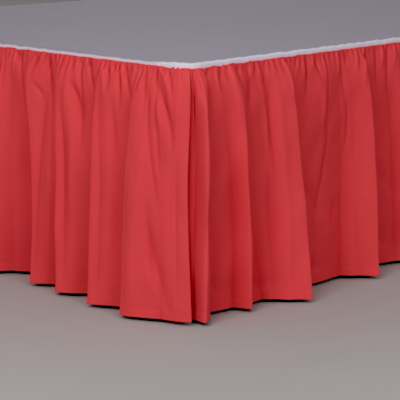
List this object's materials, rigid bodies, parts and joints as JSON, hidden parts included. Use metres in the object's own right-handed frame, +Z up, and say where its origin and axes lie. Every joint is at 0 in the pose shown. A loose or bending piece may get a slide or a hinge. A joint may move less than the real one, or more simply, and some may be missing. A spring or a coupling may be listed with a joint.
{
  "type": "bed skirt on a box base",
  "caption": "Gathered red bed skirt, split at the corners, hanging from a white deck cloth over a plain box base on legs.",
  "frame": {"origin": "on the floor, under the middle of all that is built", "axes": "+Z up, +X across the bed to its right, -Y towards the foot of the bed, where the skirt's front drop hangs"},
  "size_m": [1.1655, 1.9848, 0.381],
  "materials": {
    "red_cloth": "smooth closely woven cotton and polyester cloth",
    "white_cloth": "thin plain woven white cloth",
    "ticking": "plain upholstery cloth",
    "leg_wood": "clear satin varnish"
  },
  "bodies": {
    "root": {"skirt_foot": "red_cloth", "skirt_right": "red_cloth", "skirt_left": "red_cloth", "deck": "white_cloth", "box_spring": "ticking", "leg_foot_left": "leg_wood", "leg_foot_right": "leg_wood", "leg_middle_left": "leg_wood", "leg_middle_right": "leg_wood", "leg_head_left": "leg_wood", "leg_head_right": "leg_wood"}
  },
  "joints": []
}
